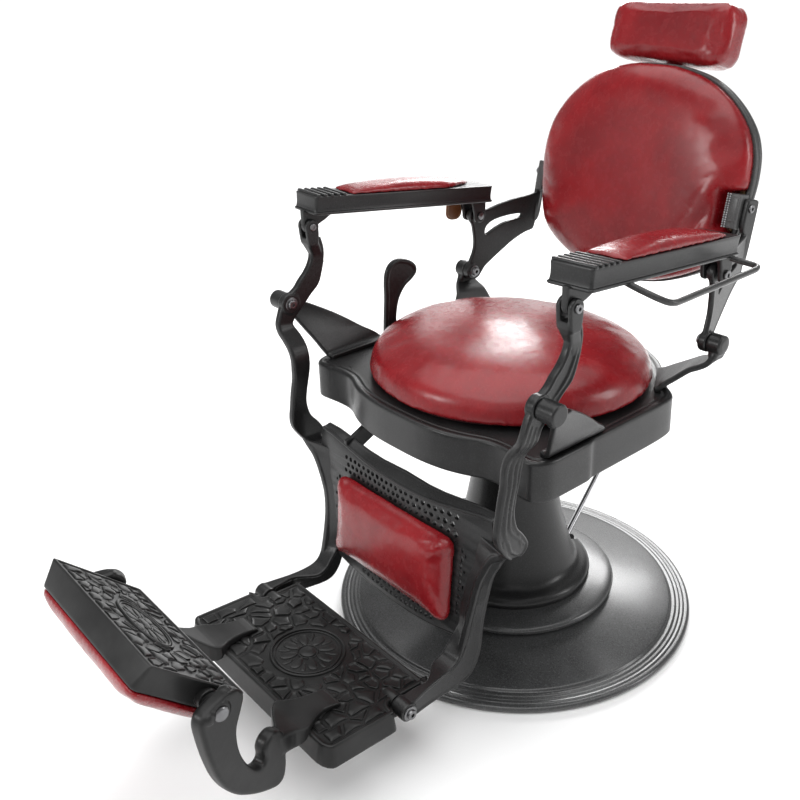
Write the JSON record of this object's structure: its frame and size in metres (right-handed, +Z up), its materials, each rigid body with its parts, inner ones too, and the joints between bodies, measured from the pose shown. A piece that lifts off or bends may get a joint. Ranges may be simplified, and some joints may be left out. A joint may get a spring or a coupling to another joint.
{
  "type": "hydraulic barber chair",
  "caption": "Barber chair on a round pump base: swivel seat, backrest, armrests and leg rest that recline together, folding footrest with a flip-over cushion, sliding headrest.",
  "frame": {"origin": "centre of the round base on the floor", "axes": "+Z up, the chair faces -Y, +X is the sitter's left"},
  "size_m": [0.7399, 1.3228, 1.0874],
  "materials": {
    "casting": "satin textured dark grey enamel on castings",
    "base_casting": "satin textured dark grey enamel on cast iron",
    "footplate": "glossy black enamel on cast iron",
    "bright": "bright plated",
    "steel": "machined steel",
    "bush": "machined",
    "rubber": "matt",
    "seal": "oiled",
    "upholstery": "glossy deep red leather",
    "board": "plain plywood",
    "tab": "tan leather",
    "knob": "black"
  },
  "bodies": {
    "base": {"floor_ring": "rubber", "base_plate": "base_casting", "base_screws": "steel", "cover_flange": "base_casting", "pump_cover": "base_casting", "reservoir": "steel", "pump_cylinder": "base_casting", "guide_bush": "bush", "lever_pin": "steel", "plunger_spring": "steel"},
    "pedal": {"pump_lever": "bright", "pedal_rubber": "rubber"},
    "plunger": {"pump_plunger": "steel"},
    "lift_ram": {"ram": "bright", "piston_seal": "seal", "thrust_bearing": "steel"},
    "seat": {"swivel_hub": "base_casting", "seat_frame": "casting", "cushion_board": "board", "seat_cushion": "upholstery", "front_bracket_left": "casting", "front_bracket_right": "casting", "rear_bracket_left": "casting", "rear_bracket_right": "casting", "pivot_pins": "bright", "lock_block": "casting"},
    "lock": {"lock_rod": "steel"},
    "handle": {"recline_lever": "casting"},
    "leg_rest": {"leg_side_left": "casting", "leg_side_right": "casting", "leg_panel": "casting", "leg_pad": "upholstery", "footrest_pins": "bright", "arm_pins": "steel"},
    "footrest": {"footrest_plate": "footplate", "hook_left": "footplate", "hook_right": "footplate", "flip_screws": "bright"},
    "flip_rest": {"flip_tray": "footplate", "flip_cushion": "upholstery"},
    "backrest": {"back_side_left": "casting", "back_side_right": "casting", "back_shell": "casting", "back_board": "board", "back_cushion": "upholstery", "back_clamps": "casting", "back_screws": "bright", "headrest_socket": "casting"},
    "clamp_knob": {"headrest_knob": "knob"},
    "headrest_bar": {"headrest_post": "steel"},
    "headrest": {"headrest_shell": "casting", "headrest_cushion": "upholstery"},
    "left_arm": {"armrest_left": "casting", "arm_plate_left": "casting", "arm_pad_left": "upholstery", "towel_bar": "casting"},
    "right_arm": {"armrest_right": "casting", "arm_plate_right": "casting", "arm_pad_right": "upholstery", "strop_tab": "tab"}
  },
  "joints": [
    {"name": "lift", "type": "slide", "parent": "base", "child": "lift_ram", "axis": [0, 0, 1], "range_m": [0, 0.15]},
    {"name": "swivel", "type": "hinge", "parent": "lift_ram", "child": "seat", "pos_m": [0, 0, 0.45], "axis": [0, 0, 1], "continuous": true},
    {"name": "recline", "type": "hinge", "parent": "seat", "child": "backrest", "pos_m": [0, 0.165, 0.582], "axis": [-1, 0, 0], "range_deg": [0, 40]},
    {"name": "leg_rest_swing", "type": "hinge", "parent": "seat", "child": "leg_rest", "pos_m": [0, -0.277, 0.619], "axis": [-1, 0, 0], "range_deg": [0, 38.4]},
    {"name": "left_arm_hinge", "type": "hinge", "parent": "backrest", "child": "left_arm", "pos_m": [0, 0.17, 0.7], "axis": [-1, 0, 0], "range_deg": [-44.9, 0]},
    {"name": "right_arm_hinge", "type": "hinge", "parent": "backrest", "child": "right_arm", "pos_m": [0, 0.17, 0.7], "axis": [-1, 0, 0], "range_deg": [-44.9, 0]},
    {"name": "lock_slide", "type": "slide", "parent": "seat", "child": "lock", "axis": [0, -1, 0], "range_m": [0, 0.1457]},
    {"name": "lock_handle", "type": "hinge", "parent": "seat", "child": "handle", "pos_m": [-0.29, -0.048, 0.47], "axis": [-1, 0, 0], "range_deg": [0, 18], "stiffness_Nm_per_rad": 8, "springref_deg": -22.92},
    {"name": "footrest_fold", "type": "hinge", "parent": "leg_rest", "child": "footrest", "pos_m": [0, -0.455, 0.117], "axis": [-1, 0, 0], "range_deg": [0, 50]},
    {"name": "flip", "type": "hinge", "parent": "footrest", "child": "flip_rest", "pos_m": [0, -0.757, 0.304], "axis": [1, 0, 0], "range_deg": [-135, 45]},
    {"name": "headrest_lift", "type": "slide", "parent": "backrest", "child": "headrest_bar", "axis": [0, 0.1908, 0.9816], "range_m": [0, 0.1]},
    {"name": "headrest_tilt", "type": "hinge", "parent": "headrest_bar", "child": "headrest", "pos_m": [0, 0.46424, 1.02652], "axis": [-1, 0, 0], "range_deg": [0, 25]},
    {"name": "headrest_clamp", "type": "hinge", "parent": "backrest", "child": "clamp_knob", "pos_m": [0, 0.40784, 0.90914], "axis": [0, 0.9816, -0.1908], "range_deg": [-90, 90]},
    {"name": "pump_pedal", "type": "hinge", "parent": "base", "child": "pedal", "pos_m": [0.045, 0.088, 0.073], "axis": [-1, 0, 0], "range_deg": [0, 20], "stiffness_Nm_per_rad": 12, "springref_deg": -22.92},
    {"name": "pump_stroke", "type": "slide", "parent": "base", "child": "plunger", "axis": [0, 0, -1], "range_m": [0, 0.0074], "deforming": ["plunger_spring"]}
  ],
  "couplings": [
    {"joint": "leg_rest_swing", "follows": "recline", "ratio": 0.959},
    {"joint": "left_arm_hinge", "follows": "recline", "ratio": -1.122},
    {"joint": "right_arm_hinge", "follows": "recline", "ratio": -1.122},
    {"joint": "lock_slide", "follows": "recline", "m_per_rad": 0.2084},
    {"joint": "pump_stroke", "follows": "pump_pedal", "m_per_rad": 0.0209}
  ]
}
